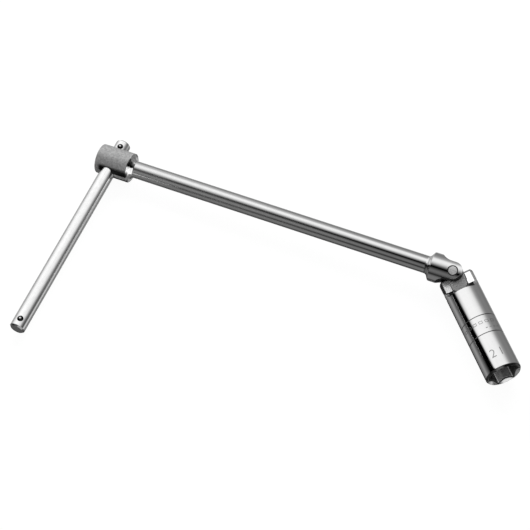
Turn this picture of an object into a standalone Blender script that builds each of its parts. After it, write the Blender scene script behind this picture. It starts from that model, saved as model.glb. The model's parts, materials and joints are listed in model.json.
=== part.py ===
"""An articulated socket wrench with a sliding handle, in metres, +Z up.

The tool is laid out in its own frame first: the shaft along +X from the handle's bore
to the fork's pin, the handle along Y, the fork rolled about the shaft, the link swung
in the fork and the socket tilted on the link. All of it is then turned as one, to lie
as its weight lays it: on the cross head and along the socket, its handle's end just clear."""

import math

import bmesh
import bpy
from mathutils import Matrix, Vector

# Fits: the gap between pieces that seat on each other, and how far cutters run past.
clearance = 0.0003
overrun = 0.002
weld_distance = 0.000001

# Shaft, measured from the handle's axis to the fork's pin
shaft_diameter = 0.0139
pin_distance = 0.2903

# Cross head, measured along the shaft from the handle's axis
head_diameter = 0.0242
head_back = 0.0113
head_front = 0.0162
head_neck = 0.0209
head_edge = 0.0006
head_neck_fillet = 0.0044

# Sliding handle with a spring ball near each end
handle_diameter = 0.0122
handle_length = 0.1865
handle_edge = 0.0011
ball_diameter = 0.0042
ball_inset = 0.0068
ball_proud = 0.0011
ball_stop_gap = 0.0007
pocket_depth = 0.0078
spring_wire = 0.0005
spring_turns = 4

# Fork, measured from its pin back towards the handle
collar_diameter = 0.0228
collar_end = 0.0118
collar_start = 0.0177
collar_edge = 0.0005
fork_neck = 0.0221
fork_neck_fillet = 0.0032
ear_width = 0.015
ear_relief_radius = 0.0115

# Link: a block with a pin across each way, rounded about each pin
link_width = 0.0128
link_thickness = 0.0104
pin_spacing = 0.0142
link_edge = 0.0006
link_end_width = 0.008
link_end_corner = 0.0018

# The two rivets
rivet_diameter = 0.0066
rivet_dome = 0.0004

# Socket, measured from its pin: ears towards the link, the mouth away from it
socket_diameter = 0.0278
socket_ear_reach = 0.0103
socket_mouth = 0.0785
socket_ear_edge = 0.0008
socket_flat_spacing = 0.0126
socket_flat_end = 0.0009
socket_flat_taper = 0.0021
socket_flat_drop = 0.001
socket_shoulder_fillet = 0.0055
socket_slot_floor = 0.0061
groove_places = (0.0326, 0.0478)
groove_width = 0.0007
groove_depth = 0.00025
rim_depth = 0.0016
rim_width = 0.0009
mouth_diameter = 0.0258
mouth_taper_deg = 39.0
hex_across_flats = 0.021
hex_depth = 0.022
bore_diameter = 0.0204
bore_depth = 0.062
bore_point_deg = 60.0

# Rubber ring in a groove of the bore, which grips the plug
grip_from_mouth = 0.0255
grip_length = 0.006
grip_outer_diameter = 0.0222
grip_inner_diameter = 0.012
grip_edge = 0.001

# The pose: how far each joint is turned
handle_roll_deg = 7.0
fork_roll_deg = 21.0
link_swing_deg = 45.6
socket_tilt_deg = 15.7

# Facets of round pieces
head_facets = 48
shaft_facets = 36
handle_facets = 32
fork_facets = 48
socket_facets = 60
bore_facets = 36
rivet_facets = 24
ball_facets = 16
ball_rings = 10
arc_steps = 5
spring_points_per_turn = 10
resting_steps = 40
tool_up = Vector((0, 0, 1))
unit = 1

shaft_radius = shaft_diameter / 2
head_radius = head_diameter / 2
handle_radius = handle_diameter / 2
handle_bore_radius = handle_radius + clearance
ball_radius = ball_diameter / 2
collar_radius = collar_diameter / 2
ear_half = ear_width / 2
rivet_radius = rivet_diameter / 2
rivet_hole_radius = rivet_radius + clearance
socket_radius = socket_diameter / 2
bore_radius = bore_diameter / 2


def clear_scene():
    for item in list(bpy.data.objects):
        bpy.data.objects.remove(item, do_unlink=True)


def new_collection(name):
    collection = bpy.data.collections.new(name)
    bpy.context.scene.collection.children.link(collection)
    return collection


def new_material(name, colour, roughness, metallic):
    material = bpy.data.materials.new(name)
    material.use_nodes = True
    surface = material.node_tree.nodes["Principled BSDF"]
    surface.inputs["Base Color"].default_value = (*colour, 1)
    surface.inputs["Roughness"].default_value = roughness
    surface.inputs["Metallic"].default_value = metallic
    return material


clear_scene()
parts = new_collection("l_handle_socket_wrench")
cutters = new_collection("cutters")
guides = new_collection("guides")

# Turns a piece built along +Z so that it lies along +X, or along +Y.
along_x = Matrix.Rotation(math.radians(90), 4, "Y")
along_y = Matrix.Rotation(math.radians(-90), 4, "X")
along_z = Matrix.Identity(4)


def new_frame(name, parent, matrix):
    """An empty that carries the pieces of one moving body, at its joint."""
    frame = bpy.data.objects.new(name, None)
    guides.objects.link(frame)
    frame.hide_render = True
    frame.empty_display_size = handle_radius
    frame.parent = parent
    frame.matrix_basis = matrix
    return frame


def place(item, frame, matrix, material=None):
    """Hangs an object on a frame: a part when it has a material, a cutter when not."""
    (parts if material else cutters).objects.link(item)
    item.parent = frame
    item.matrix_basis = matrix
    if material:
        item.data.materials.append(material)
    else:
        item.hide_render = True
        item.display_type = "WIRE"
    return item


def arc(centre, radius, start_deg, end_deg, steps=arc_steps):
    """Points on a circle, from one angle to the other, in an outline's plane."""
    points = []
    for step in range(steps + 1):
        angle = math.radians(start_deg + (end_deg - start_deg) * step / steps)
        along = centre[0] + radius * math.cos(angle)
        out = centre[1] + radius * math.sin(angle)
        points.append((along, out))
    return points


def turned(name, profile, facets, frame, matrix, material=None):
    """A piece turned about its own Z: the profile lists (height, radius) from top to foot."""
    mesh = bpy.data.meshes.new(name)
    points = [(radius, 0, height) for height, radius in profile]
    edges = [(n, n + 1) for n in range(len(points) - 1)]
    mesh.from_pydata(points, edges, [])
    item = place(bpy.data.objects.new(name, mesh), frame, matrix, material)
    screw = item.modifiers.new("turn", "SCREW")
    screw.axis = "Z"
    screw.angle = math.radians(360)
    screw.steps = facets
    screw.render_steps = facets
    screw.use_merge_vertices = True
    screw.merge_threshold = weld_distance
    screw.use_smooth_shade = True
    return item


def rod(name, radius, length, facets, frame, matrix, material=None):
    """A plain cylinder, centred on its frame's place, along its own Z."""
    mesh = bpy.data.meshes.new(name)
    shape = bmesh.new()
    bmesh.ops.create_cone(
        shape,
        cap_ends=True,
        segments=facets,
        radius1=radius,
        radius2=radius,
        depth=length,
    )
    shape.to_mesh(mesh)
    shape.free()
    return place(bpy.data.objects.new(name, mesh), frame, matrix, material)


def block(name, low, high, frame, material=None):
    """A box between two corners given in its frame."""
    mesh = bpy.data.meshes.new(name)
    shape = bmesh.new()
    size = [b - a for a, b in zip(low, high)]
    middle = [(a + b) / 2 for a, b in zip(low, high)]
    bmesh.ops.create_cube(shape, size=unit, matrix=Matrix.Diagonal((*size, unit)))
    shape.to_mesh(mesh)
    shape.free()
    return place(bpy.data.objects.new(name, mesh), frame, Matrix.Translation(middle), material)


def plate(name, outline, thickness, frame, matrix, material=None):
    """A flat outline in its own XY plane, given a thickness along its own Z."""
    curve = bpy.data.curves.new(name, "CURVE")
    curve.dimensions = "2D"
    curve.fill_mode = "BOTH"
    curve.extrude = thickness / 2
    spline = curve.splines.new("POLY")
    spline.points.add(len(outline) - 1)
    for point, (along, out) in zip(spline.points, outline):
        point.co = (along, out, 0, 1)
    spline.use_cyclic_u = True
    drawn = bpy.data.objects.new(name + "_outline", curve)
    guides.objects.link(drawn)
    bpy.context.view_layer.update()
    evaluated = drawn.evaluated_get(bpy.context.evaluated_depsgraph_get())
    mesh = bpy.data.meshes.new_from_object(evaluated)
    bpy.data.objects.remove(drawn, do_unlink=True)
    shape = bmesh.new()
    shape.from_mesh(mesh)
    bmesh.ops.remove_doubles(shape, verts=shape.verts, dist=weld_distance)
    bmesh.ops.recalc_face_normals(shape, faces=shape.faces)
    shape.to_mesh(mesh)
    shape.free()
    return place(bpy.data.objects.new(name, mesh), frame, matrix, material)


def combine(target, tool, operation):
    modifier = target.modifiers.new(tool.name, "BOOLEAN")
    modifier.operation = operation
    modifier.solver = "EXACT"
    modifier.object = tool


def cut(target, tool):
    combine(target, tool, "DIFFERENCE")


def resting_turn(supports):
    """The turn that lays the tool on the ground, which three of its legs touch.

    Each leg is a list of circles (centre, axis, radius). The ground's normal is found by
    taking each leg's lowest point, laying a plane through the three, and repeating."""
    up = tool_up.copy()
    for _ in range(resting_steps):
        lowest = []
        for circles in supports:
            points = []
            for centre, axis, radius in circles:
                down = -up - axis * axis.dot(-up)
                points.append(centre + down.normalized() * radius)
            lowest.append(min(points, key=lambda point: point.dot(up)))
        up = (lowest[1] - lowest[0]).cross(lowest[2] - lowest[0]).normalized()
        if up.dot(tool_up) < 0:
            up.negate()
    forward = (Vector((1, 0, 0)) - up * up.x).normalized()
    side = up.cross(forward)
    return Matrix((forward, side, up)).to_4x4()


# Materials
chrome = new_material("bright chrome", (0.78, 0.78, 0.79), 0.12, 1)
satin = new_material("satin steel", (0.52, 0.52, 0.51), 0.42, 1)
bare_steel = new_material("bare steel", (0.66, 0.66, 0.65), 0.34, 1)
rubber = new_material("black rubber", (0.025, 0.025, 0.027), 0.7, 0)

# Where the handle lies: its upper ball has just cleared the head's bore.
bore_mouth = math.sqrt(head_radius**2 - handle_bore_radius**2)
ball_centre = handle_radius + ball_proud - ball_radius
ball_half_chord = math.sqrt(ball_radius**2 - (handle_bore_radius - ball_centre) ** 2)
ball_place = bore_mouth + ball_half_chord + ball_stop_gap
handle_top = ball_place + ball_inset
handle_middle = handle_top - handle_length / 2
handle_foot = handle_top - handle_length

# The frames of the moving bodies, before the tool is laid down
fork_matrix = Matrix.Translation((pin_distance, 0, 0)) @ Matrix.Rotation(
    math.radians(fork_roll_deg), 4, "X"
)
link_turn = Matrix.Rotation(math.radians(-link_swing_deg), 4, "Z")
socket_turn = Matrix.Translation((pin_spacing, 0, 0)) @ Matrix.Rotation(
    math.radians(-socket_tilt_deg), 4, "Y"
)
handle_turn = Matrix.Rotation(math.radians(handle_roll_deg), 4, "Y")
socket_matrix = fork_matrix @ link_turn @ socket_turn


def lay_down():
    """The whole tool's turn, from the circles that can touch the ground."""
    shaft_axis = Vector((1, 0, 0))
    socket_axis = (socket_matrix.to_3x3() @ Vector((1, 0, 0))).normalized()
    head_leg = [
        (shaft_axis * -head_back, shaft_axis, head_radius - head_edge),
        (shaft_axis * (head_edge - head_back), shaft_axis, head_radius),
        (shaft_axis * head_front, shaft_axis, head_radius),
    ]
    shoulder = socket_matrix @ Vector((socket_flat_end + socket_shoulder_fillet, 0, 0))
    mouth = socket_matrix @ Vector((socket_mouth - rim_depth, 0, 0))
    shoulder_leg = [(shoulder, socket_axis, socket_radius)]
    mouth_leg = [(mouth, socket_axis, socket_radius)]
    return resting_turn([head_leg, shoulder_leg, mouth_leg])


tool = new_frame("tool", None, lay_down())
shaft_frame = new_frame("shaft_frame", tool, Matrix.Identity(4))
handle_frame = new_frame("handle_frame", shaft_frame, handle_turn)
fork_frame = new_frame("fork_frame", shaft_frame, fork_matrix)
link_frame = new_frame("link_frame", fork_frame, link_turn)
socket_frame = new_frame("socket_frame", link_frame, socket_turn)


def make_cross_head():
    """The turned head, with the handle's bore through it and a neck down to the shaft."""
    neck_start_deg = 62
    fillet_centre = (head_neck, shaft_radius + head_neck_fillet)
    neck = arc(fillet_centre, head_neck_fillet, -90, -90 - neck_start_deg)
    profile = [(head_neck, 0), *neck]
    profile += [
        (head_front + head_edge, head_radius - head_edge),
        (head_front, head_radius),
        (head_edge - head_back, head_radius),
        (-head_back, head_radius - head_edge),
        (-head_back, 0),
    ]
    head = turned("cross_head", profile, head_facets, shaft_frame, along_x, satin)
    bore_length = head_diameter + 2 * overrun
    bore = rod(
        "handle_bore", handle_bore_radius, bore_length, handle_facets, shaft_frame, along_y
    )
    cut(head, bore)


def make_shaft():
    start = head_neck + clearance
    end = pin_distance - fork_neck - clearance
    profile = [(end, 0), (end, shaft_radius), (start, shaft_radius), (start, 0)]
    turned("shaft", profile, shaft_facets, shaft_frame, along_x, chrome)


def make_handle():
    """The sliding bar, with a blind pocket for each ball."""
    half = handle_length / 2
    profile = [
        (half, 0),
        (half, handle_radius - handle_edge),
        (half - handle_edge, handle_radius),
        (handle_edge - half, handle_radius),
        (-half, handle_radius - handle_edge),
        (-half, 0),
    ]
    middle = Matrix.Translation((0, handle_middle, 0))
    handle = turned(
        "sliding_handle", profile, handle_facets, handle_frame, middle @ along_y, chrome
    )
    floor = handle_radius - pocket_depth
    length = pocket_depth + overrun
    for name, along in ball_places():
        where = Matrix.Translation((0, along, floor + length / 2))
        pocket = rod(
            name + "_pocket", ball_radius + clearance, length, ball_facets, handle_frame, where
        )
        cut(handle, pocket)


def ball_places():
    """The names and places along the handle of its two spring balls."""
    return (
        ("upper", handle_top - ball_inset),
        ("lower", handle_foot + ball_inset),
    )


def make_ball(name, along):
    mesh = bpy.data.meshes.new(name)
    shape = bmesh.new()
    bmesh.ops.create_uvsphere(
        shape, u_segments=ball_facets, v_segments=ball_rings, radius=ball_radius
    )
    shape.to_mesh(mesh)
    shape.free()
    mesh.shade_smooth()
    ball = bpy.data.objects.new(name, mesh)
    place(ball, handle_frame, Matrix.Translation((0, along, ball_centre)), bare_steel)


def make_spring(name, along):
    """A short coil between the pocket's floor and the ball."""
    foot = handle_radius - pocket_depth + clearance + spring_wire / 2
    top = ball_centre - ball_radius - clearance - spring_wire / 2
    coil_radius = ball_radius - spring_wire / 2 - clearance
    curve = bpy.data.curves.new(name, "CURVE")
    curve.dimensions = "3D"
    curve.bevel_depth = spring_wire / 2
    curve.bevel_resolution = 1
    curve.use_fill_caps = True
    count = spring_turns * spring_points_per_turn + 1
    spline = curve.splines.new("POLY")
    spline.points.add(count - 1)
    for n, point in enumerate(spline.points):
        angle = math.radians(360) * n / spring_points_per_turn
        height = foot + (top - foot) * n / (count - 1)
        across = coil_radius * math.cos(angle)
        out = coil_radius * math.sin(angle)
        point.co = (across, out, height, 1)
    where = Matrix.Translation((0, along, 0))
    place(bpy.data.objects.new(name, curve), handle_frame, where, bare_steel)


def make_fork():
    """The forked end: a collar turned with the neck, milled to two ears and slotted."""
    neck_end_deg = 55
    fillet_centre = (-fork_neck, shaft_radius + fork_neck_fillet)
    neck = arc(fillet_centre, fork_neck_fillet, -90 + neck_end_deg, -90)
    profile = [
        (ear_half + overrun, 0),
        (ear_half + overrun, collar_radius),
        (collar_edge - collar_start, collar_radius),
        (-collar_start - collar_edge / 2, collar_radius - collar_edge),
        *neck,
        (-fork_neck, 0),
    ]
    fork = turned("fork", profile, fork_facets, fork_frame, along_x, chrome)
    outline = fork_outline()
    blank = plate(
        "fork_outline", outline, collar_diameter + 2 * overrun, fork_frame, along_z
    )
    combine(fork, blank, "INTERSECT")
    slot_half = link_thickness / 2 + clearance
    slot_end = link_width / 2 + 2 * clearance
    across = collar_radius + overrun
    slot = block(
        "fork_slot",
        (-slot_end, -across, -slot_half),
        (ear_half + 2 * overrun, across, slot_half),
        fork_frame,
    )
    cut(fork, slot)
    hole_length = collar_diameter + 2 * overrun
    hole = rod(
        "fork_hole", rivet_hole_radius, hole_length, rivet_facets, fork_frame, along_z
    )
    cut(fork, hole)


def fork_outline():
    """The collar's width, then a round relief down to the ears and a round tip."""
    wide = collar_radius + overrun
    rise = collar_radius - ear_half
    run = math.sqrt(ear_relief_radius**2 - (ear_relief_radius - rise) ** 2)
    relief_place = run - collar_end
    relief_centre = (relief_place, ear_half + ear_relief_radius)
    relief_deg = math.degrees(math.asin(run / ear_relief_radius))
    tip = arc((0, 0), ear_half, 90, 0, 3 * arc_steps)
    relief = arc(relief_centre, ear_relief_radius, -90 - relief_deg, -90, 2 * arc_steps)
    upper = [(-fork_neck - overrun, wide), (-collar_end, wide), *relief, *tip]
    lower = [(along, -out) for along, out in reversed(upper[:-1])]
    return upper + lower


def make_link():
    """The link block: the overlap of a plate across the first pin and one across the second."""
    half_width = link_width / 2
    half_thickness = link_thickness / 2
    reach = pin_spacing + half_thickness + overrun
    end_half = link_end_width / 2
    corner = pin_spacing - link_end_corner
    upper = [(reach, end_half), (pin_spacing, end_half), (corner, half_width)]
    outline = upper + arc((0, 0), half_width, 90, 270, 3 * arc_steps)
    outline += [(along, -out) for along, out in reversed(upper)]
    link = plate("link", outline, link_thickness, link_frame, along_z, bare_steel)
    back = half_width + overrun
    side = arc((pin_spacing, 0), half_thickness, -90, 90, 3 * arc_steps)
    side += [(-back, half_thickness + overrun), (-back, -half_thickness - overrun)]
    upright = Matrix.Rotation(math.radians(90), 4, "X")
    rounding = plate(
        "link_rounding", side, link_width + 2 * overrun, link_frame, upright
    )
    combine(link, rounding, "INTERSECT")
    shorter = half_thickness - link_edge
    narrower = half_width - link_edge
    section = [(half_thickness, narrower), (shorter, half_width)]
    section += [(-out, along) for out, along in reversed(section)]
    section += [(-out, -along) for out, along in section]
    edging = plate("link_edging", section, 2 * (reach + back), link_frame, along_x)
    combine(link, edging, "INTERSECT")
    first = rod(
        "link_first_hole",
        rivet_hole_radius,
        link_thickness + 2 * overrun,
        rivet_facets,
        link_frame,
        along_z,
    )
    cut(link, first)
    second = rod(
        "link_second_hole",
        rivet_hole_radius,
        link_width + 2 * overrun,
        rivet_facets,
        link_frame,
        Matrix.Translation((pin_spacing, 0, 0)) @ along_y,
    )
    cut(link, second)


def make_rivet(name, outer_radius, frame, matrix):
    """A rivet through a round body: its rim ends at the body's surface, its ends are domed."""
    rim = math.sqrt(outer_radius**2 - rivet_radius**2)
    top = rim + rivet_dome
    bend = (rivet_radius**2 + rivet_dome**2) / (2 * rivet_dome)
    half_deg = math.degrees(math.asin(rivet_radius / bend))
    dome = [
        (height, radius)
        for height, radius in arc((top - bend, 0), bend, 0, half_deg, arc_steps)
    ]
    foot = [(-height, radius) for height, radius in reversed(dome)]
    turned(name, dome + foot, rivet_facets, frame, matrix, bare_steel)


def socket_profile():
    """The socket's outside with its two grooves, then its mouth and bore."""
    ears = -socket_ear_reach
    outside = [
        (ears, 0),
        (ears, socket_radius - socket_ear_edge),
        (ears + socket_ear_edge, socket_radius),
    ]
    for middle in groove_places:
        outside += [
            (middle - groove_width / 2, socket_radius),
            (middle, socket_radius - groove_depth),
            (middle + groove_width / 2, socket_radius),
        ]
    stretch = rim_depth / rim_width
    for along, out in arc((0, 0), rim_width, 90, 0):
        place_along = socket_mouth - rim_depth + along * stretch
        outside.append((place_along, socket_radius - rim_width + out))
    taper = math.tan(math.radians(mouth_taper_deg))
    taper_length = (mouth_diameter / 2 - bore_radius) / taper
    grip_start = socket_mouth - grip_from_mouth
    grip_end = grip_start - grip_length
    seat_radius = grip_outer_diameter / 2 + clearance
    floor = socket_mouth - bore_depth
    point_length = bore_radius / math.tan(math.radians(bore_point_deg))
    inside = [
        (socket_mouth, mouth_diameter / 2),
        (socket_mouth - taper_length, bore_radius),
        (grip_start + clearance, bore_radius),
        (grip_start + clearance, seat_radius),
        (grip_end - clearance, seat_radius),
        (grip_end - clearance, bore_radius),
        (floor, bore_radius),
        (floor - point_length, 0),
    ]
    return outside + inside


def make_socket():
    """The socket: turned, hexed from the mouth, then slotted and flatted to two ears."""
    profile = list(reversed(socket_profile()))
    socket = turned("socket", profile, socket_facets, socket_frame, along_x, chrome)
    hex_length = hex_depth + overrun
    hex_middle = Matrix.Translation((socket_mouth + overrun - hex_length / 2, 0, 0))
    hex_radius = hex_across_flats / math.sqrt(3)
    hexagon = rod("socket_hex", hex_radius, hex_length, 6, socket_frame, hex_middle @ along_x)
    cut(socket, hexagon)
    wide = socket_radius + overrun
    top = -socket_ear_reach - overrun
    slot_half = link_width / 2 + clearance
    slot = block(
        "socket_slot",
        (top, -slot_half, -wide),
        (socket_slot_floor, slot_half, wide),
        socket_frame,
    )
    cut(socket, slot)
    flat_half = socket_flat_spacing / 2
    fillet_centre = (socket_flat_end, flat_half + socket_shoulder_fillet)
    end = -socket_ear_reach
    past = socket_flat_drop * (socket_flat_taper + overrun) / socket_flat_taper
    outline = [(top, flat_half - past), (end + socket_flat_taper, flat_half)]
    outline += arc(fillet_centre, socket_shoulder_fillet, -90, 0)
    outline += [(socket_flat_end + socket_shoulder_fillet, wide), (top, wide)]
    for name, turn_deg in (("front", 90), ("back", -90)):
        upright = Matrix.Rotation(math.radians(turn_deg), 4, "X")
        flat = plate("socket_flat_" + name, outline, 2 * wide, socket_frame, upright)
        cut(socket, flat)
    hole_length = socket_diameter + 2 * overrun
    hole = rod(
        "socket_hole", rivet_hole_radius, hole_length, rivet_facets, socket_frame, along_y
    )
    cut(socket, hole)


def make_plug_grip():
    """The rubber ring in the bore's groove."""
    outer = grip_outer_diameter / 2
    inner = grip_inner_diameter / 2
    start = socket_mouth - grip_from_mouth
    end = start - grip_length
    profile = [
        (start - grip_edge, inner),
        (start, inner + grip_edge),
        (start, outer),
        (end, outer),
        (end, inner + grip_edge),
        (end + grip_edge, inner),
        (start - grip_edge, inner),
    ]
    turned("plug_grip", profile, bore_facets, socket_frame, along_x, rubber)


def centre_on_ground():
    """Moves the tool so that its box is centred on the origin and stands on z = 0."""
    bpy.context.view_layer.update()
    graph = bpy.context.evaluated_depsgraph_get()
    corners = []
    for item in parts.objects:
        evaluated = item.evaluated_get(graph)
        mesh = evaluated.to_mesh()
        corners += [evaluated.matrix_world @ vertex.co for vertex in mesh.vertices]
        evaluated.to_mesh_clear()
    low = Vector([min(corner[axis] for corner in corners) for axis in range(3)])
    high = Vector([max(corner[axis] for corner in corners) for axis in range(3)])
    middle = (low + high) / 2
    tool.matrix_basis = Matrix.Translation((-middle.x, -middle.y, -low.z)) @ tool.matrix_basis


make_cross_head()
make_shaft()
make_handle()
for ball_name, ball_along in ball_places():
    make_ball("detent_ball_" + ball_name, ball_along)
    make_spring("detent_spring_" + ball_name, ball_along)
make_fork()
make_link()
make_rivet("fork_rivet", collar_radius, fork_frame, along_z)
make_socket()
make_rivet("socket_rivet", socket_radius, socket_frame, along_y)
make_plug_grip()
centre_on_ground()
bpy.context.view_layer.update()
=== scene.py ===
"""The looks of an articulated socket wrench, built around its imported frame. Metres, +Z up.

Each turned or milled part is made again, finer than its solid and on the same sizes, and
stands for its node. Every piece is built in the frame of the part that it belongs to, and
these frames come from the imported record's joints and mounts."""

import json
import math
from collections import namedtuple

import bmesh
import bpy
from mathutils import Matrix, Vector


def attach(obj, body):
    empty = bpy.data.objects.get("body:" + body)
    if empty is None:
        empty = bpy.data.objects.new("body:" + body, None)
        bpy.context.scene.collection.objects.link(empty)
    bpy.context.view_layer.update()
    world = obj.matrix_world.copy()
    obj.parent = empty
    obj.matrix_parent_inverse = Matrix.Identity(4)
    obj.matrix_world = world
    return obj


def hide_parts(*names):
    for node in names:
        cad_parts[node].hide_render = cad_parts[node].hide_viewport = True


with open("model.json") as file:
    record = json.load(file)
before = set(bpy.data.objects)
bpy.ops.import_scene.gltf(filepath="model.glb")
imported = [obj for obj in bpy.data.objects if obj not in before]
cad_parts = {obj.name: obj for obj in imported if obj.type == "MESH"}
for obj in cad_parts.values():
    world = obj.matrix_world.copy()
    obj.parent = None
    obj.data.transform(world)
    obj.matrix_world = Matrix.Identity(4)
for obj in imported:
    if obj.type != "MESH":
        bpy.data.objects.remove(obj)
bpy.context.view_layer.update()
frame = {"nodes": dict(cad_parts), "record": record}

# Sizes of the tool, nearly all shared with its solids
clearance = 0.0003
overrun = 0.002
shaft_radius = 0.00695
pin_distance = 0.2903
head_radius = 0.0121
head_back = 0.0113
head_front = 0.0162
head_neck = 0.0209
head_edge = 0.0006
head_neck_fillet = 0.0044
handle_radius = 0.0061
handle_length = 0.1865
handle_edge = 0.0011
ball_radius = 0.0021
ball_inset = 0.0068
ball_proud = 0.0011
pocket_depth = 0.0078
collar_radius = 0.0114
collar_end = 0.0118
collar_start = 0.0177
collar_edge = 0.0005
fork_neck = 0.0221
fork_neck_fillet = 0.0032
ear_half = 0.0075
ear_relief_radius = 0.0115
link_width = 0.0128
link_thickness = 0.0104
pin_spacing = 0.0142
link_edge = 0.0006
link_end_width = 0.008
link_end_corner = 0.0018
rivet_radius = 0.0033
rivet_dome = 0.0004
flare_depth = 0.0008
flare_width = 0.0005
socket_radius = 0.0139
socket_ear_reach = 0.0103
socket_mouth = 0.0785
socket_ear_edge = 0.0008
socket_flat_spacing = 0.0126
socket_flat_end = 0.0009
socket_flat_taper = 0.0021
socket_flat_drop = 0.001
socket_shoulder_fillet = 0.0055
socket_slot_floor = 0.0061
groove_places = (0.0326, 0.0478)
groove_width = 0.0007
groove_depth = 0.00025
rim_depth = 0.0016
rim_width = 0.0009
rim_bend_deg = 33.0
rim_bend_radius = 0.00072
mouth_radius = 0.0129
mouth_taper_deg = 39.0
hex_across_flats = 0.021
hex_corner_cut = 0.00015
hex_depth = 0.022
bore_radius = 0.0102
bore_depth = 0.062
bore_point_deg = 60.0
grip_from_mouth = 0.0255
grip_length = 0.006
grip_outer_radius = 0.0111
grip_inner_radius = 0.006
grip_edge = 0.001
socket_tilt_deg = 15.7

# Marks on the socket: two figures with their turns about it, and rows of boxes and dashes
digit_height = 0.0068
digit_share_of_size = 0.7
digit_thinned = 0.00012
digit_along = 0.0652
digit_turns = (("2", 93), ("1", 66))
box_width = 0.003
box_height = 0.0023
box_stroke = 0.0004
box_row = {"along": 0.0384, "first_deg": 145, "step_deg": 20, "count": 6}
dash_width = 0.0018
dash_height = 0.0006
dash_row = {"along": 0.0439, "first_deg": 74, "step_deg": 13, "count": 4}
mark_proud = 0.00002
mark_sunk = 0.0001
mark_step = 0.0004

# Where the painted shade and the finish change on the head; the first four are shares of its radius
head_strip_start = 0.72
head_strip_end = 0.9
head_strip_inner = 0.12
head_strip_outer = 0.2
head_strip_from = -0.0095
head_strip_fade = 0.0035
neck_shade_from_deg = -9
neck_shade_to_deg = 32
neck_shade_edge = 0.0012

# Where the finish, painted shade and painted highlights change on the other parts, along or across
# them; far is past every part's end
shaft_gloss_start = 0.13
shaft_gloss_fade = 0.13
ball_unshaded_deg = 23
fork_rim_inner = 0.0062
fork_rim_low = 0.001
fork_rim_back = 0.0068
collar_shade_start = 0.0012
collar_shade_end = 0.0032
ear_tip_edge = 0.0017
left_tip_edge = 0.0008
ear_rim_radius = 0.0129
ear_rim_low = 0.0035
ear_step_start = 0.0008
ear_step_line = 0.0018
ear_step_end = 0.02
ear_corner = 0.0098
corner_line_radius = 0.01165
hexagon_edge_width = 0.0005
hexagon_shade_edge = 0.002
dark_walls_deg = (-150, -30)
middle_wall_deg = -90
wall_mask_depth = 0.0002
zone_edge = 0.00005
soft_edge = 0.0006
far = 1.0

# How fine the pieces are
round_facets = 160
small_facets = 96
ball_facets = 64
ring_step = 0.0015
fork_ring_step = 0.0007
arc_steps = 20
edge_steps = 6
rim_steps = 8
figure_steps = 6
crease_deg = 32

# The stage, and the camera as fitted to the photograph
floor_half = 3.0
floor_drop = 0.00005
paper_grey = 0.14
paper_glow = 0.94
table_grey = 0.3
plain_light = 0.35
room_limit = 1.15
table_right_limit = 0.6
lamp_place = (-0.4, 1.2, 0.9)
lamp_width = 1.6
lamp_height = 1.0
lamp_watts = 15
focal_pixels = 1500
photo_pixels = 530
sensor_width = 36
nearest_seen = 0.01
farthest_seen = 20

hole_radius = rivet_radius + clearance
handle_bore_radius = handle_radius + clearance
ring_radius = hole_radius + flare_width


# The frames of the parts, from the record
record = frame["record"]
joints = {joint["name"]: joint for joint in record["behaviour"]["joints"]}
mounts = {mount["name"]: mount for mount in record["mounts"]}


def rotation(turn_deg, axis):
    return Matrix.Rotation(math.radians(turn_deg), 4, axis)


def basis(place, x_axis, y_axis):
    """A frame at a place, with its X and Y axes given."""
    x_axis = Vector(x_axis).normalized()
    z_axis = x_axis.cross(Vector(y_axis)).normalized()
    y_axis = z_axis.cross(x_axis)
    turn = Matrix((x_axis, y_axis, z_axis)).transposed().to_4x4()
    return Matrix.Translation(place) @ turn


shaft_along = -Vector(mounts["head_back"]["axis"])
shaft_place = Vector(mounts["head_back"]["pos_m"]) + shaft_along * head_back
slide_axis = Vector(joints["handle_slide"]["axis"])
shaft_frame = basis(shaft_place, shaft_along, slide_axis)
press_axis = Vector(joints["ball_upper_press"]["axis"])
handle_top = (Vector(mounts["handle_upper_end"]["pos_m"]) - shaft_place).dot(slide_axis)
handle_foot = handle_top - handle_length
ball_places = {"upper": handle_top - ball_inset, "lower": handle_foot + ball_inset}
handle_frame = basis(shaft_place, slide_axis.cross(-press_axis), slide_axis)
fork_place = Vector(joints["link_swing"]["pos_m"])
swing_axis = Vector(joints["link_swing"]["axis"])
fork_frame = basis(fork_place, shaft_along, swing_axis.cross(shaft_along))
socket_place = Vector(joints["socket_tilt"]["pos_m"])
tilt_axis = Vector(joints["socket_tilt"]["axis"])
link_along = socket_place - fork_place
link_frame = basis(fork_place, link_along, tilt_axis)
socket_frame = basis(socket_place, link_along, tilt_axis) @ rotation(-socket_tilt_deg, "Y")

# Turns that lay a lathe's axis along Y or Z, and that stand a flat outline up
along_y = rotation(90, "Z")
along_z = rotation(-90, "Y")
upright = rotation(90, "X")
across_x = basis((0, 0, 0), (0, 1, 0), (0, 0, 1))


# Outlines and meshes
def arc(centre, radius, start_deg, end_deg, steps=arc_steps):
    points = []
    for step in range(steps + 1):
        angle = math.radians(start_deg + (end_deg - start_deg) * step / steps)
        along = centre[0] + radius * math.cos(angle)
        out = centre[1] + radius * math.sin(angle)
        points.append((along, out))
    return points


def finer(outline, step=ring_step):
    """The same outline, with its long runs split so that no run is longer than step."""
    points = [outline[0]]
    for (x0, y0), (x1, y1) in zip(outline, outline[1:]):
        parts = max(1, math.ceil(math.hypot(x1 - x0, y1 - y0) / step))
        for part in range(1, parts + 1):
            share = part / parts
            points.append((x0 + (x1 - x0) * share, y0 + (y1 - y0) * share))
    return points


def mesh_from(name, shape):
    bmesh.ops.remove_doubles(shape, verts=shape.verts, dist=clearance / 1000)
    bmesh.ops.recalc_face_normals(shape, faces=shape.faces)
    mesh = bpy.data.meshes.new(name)
    shape.to_mesh(mesh)
    shape.free()
    return mesh


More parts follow.
